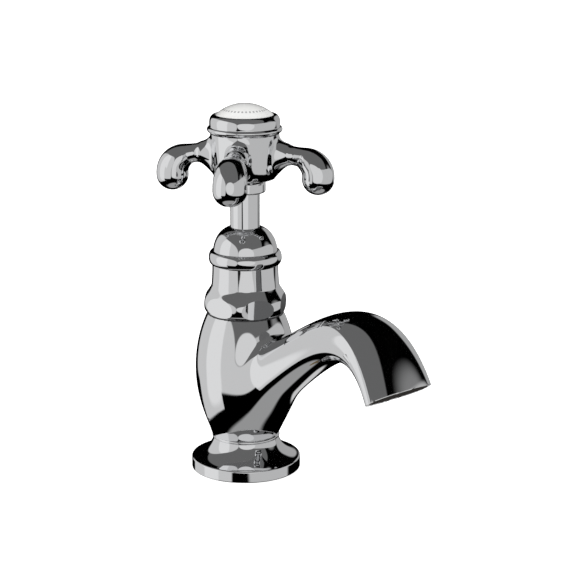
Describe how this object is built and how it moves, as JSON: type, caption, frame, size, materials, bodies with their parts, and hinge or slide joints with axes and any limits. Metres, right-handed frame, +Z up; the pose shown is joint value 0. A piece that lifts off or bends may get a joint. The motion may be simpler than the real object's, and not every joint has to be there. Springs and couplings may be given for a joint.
{
  "type": "basin pillar tap",
  "caption": "Single chrome pillar tap with a cross handle, white porcelain index, vase body and a wide arched spout.",
  "frame": {"origin": "centre of the flange's underside, on the top of the basin's deck", "axes": "+Z up along the stem, the spout reaches out towards -Y, the threaded tail hangs below the deck towards -Z"},
  "size_m": [0.0648, 0.1298, 0.2122],
  "materials": {
    "chrome": "polished",
    "brass": "machined",
    "rubber": "matt",
    "fibre": "matt fibre",
    "steel": "zinc plated",
    "alumina": "lapped",
    "plastic": "acetal",
    "porcelain": "glazed"
  },
  "bodies": {
    "tap_body": {"body_casting": "chrome", "base_gasket": "rubber", "threaded_tail": "brass", "tail_seal": "fibre", "deck_washer_rubber": "rubber", "deck_washer_metal": "steel", "backnut": "brass", "headwork_housing": "brass", "headwork_seal": "rubber", "seat_seal": "rubber", "fixed_disc": "alumina", "bonnet": "chrome", "bonnet_seal": "rubber", "stem_guide_bush": "plastic"},
    "handle": {"spindle": "brass", "moving_disc": "alumina", "friction_washer": "plastic", "spindle_o_rings": "rubber", "spindle_circlip": "steel", "stem_sleeve": "chrome", "stem_collar": "chrome", "cross_handle": "chrome", "square_insert": "plastic", "handle_screw": "steel", "handle_screw_washer": "steel", "cap_ring": "chrome", "index_disc": "porcelain", "index_seal": "rubber"}
  },
  "joints": [
    {"name": "handle_turn", "type": "hinge", "parent": "tap_body", "child": "handle", "pos_m": [0, 0, 0.1], "axis": [0, 0, 1], "range_deg": [0, 90]}
  ]
}
